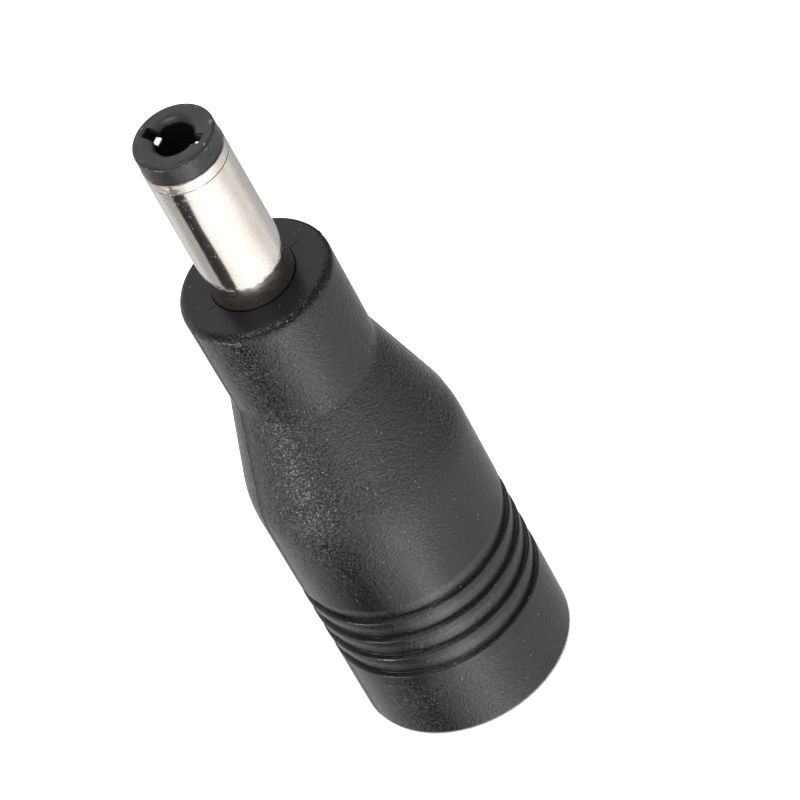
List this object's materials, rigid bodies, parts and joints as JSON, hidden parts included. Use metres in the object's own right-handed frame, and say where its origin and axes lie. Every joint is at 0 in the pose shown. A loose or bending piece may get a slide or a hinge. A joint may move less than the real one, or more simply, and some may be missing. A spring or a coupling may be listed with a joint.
{
  "type": "dc power plug adapter",
  "caption": "In-line adapter: a black moulded body with a flared, grooved rear that holds a sleeve socket, and a plated coaxial DC plug on its narrow end.",
  "frame": {"origin": "centre of the flat rear face, where the socket opens", "axes": "+Z along the connector's axis, from the socket to the plug's tip; the mould's parting plane is XZ"},
  "size_m": [0.0142, 0.0142, 0.0495],
  "materials": {
    "outer_moulding": "black soft PVC with a fine spark-eroded texture",
    "inner_moulding": "natural polyethylene",
    "sleeve_plating": "turned brass with satin nickel plating",
    "plug_insulator": "black moulded plastic, satin",
    "fork_plating": "stamped brass with nickel plating",
    "terminal_brass": "stamped bare brass",
    "washer_fibre": "red-brown vulcanised fibre",
    "lead_copper": "bare copper",
    "black_insulation": "black PVC",
    "red_insulation": "red PVC",
    "solder": "smooth tin solder",
    "socket_plastic": "black moulded plastic, satin",
    "socket_plating": "formed brass sheet with nickel plating"
  },
  "bodies": {
    "root": {"outer_moulding": "outer_moulding", "inner_moulding": "inner_moulding", "plug_barrel": "sleeve_plating", "plug_insulator": "plug_insulator", "fork_contact": "fork_plating", "barrel_terminal": "terminal_brass", "rear_washer": "washer_fibre", "negative_conductor": "lead_copper", "negative_insulation": "black_insulation", "positive_conductor": "lead_copper", "positive_insulation": "red_insulation", "solder_joints": "solder", "socket_housing": "socket_plastic", "socket_outer_contact": "socket_plating", "socket_inner_contact": "socket_plating", "socket_core": "socket_plastic"}
  },
  "joints": []
}
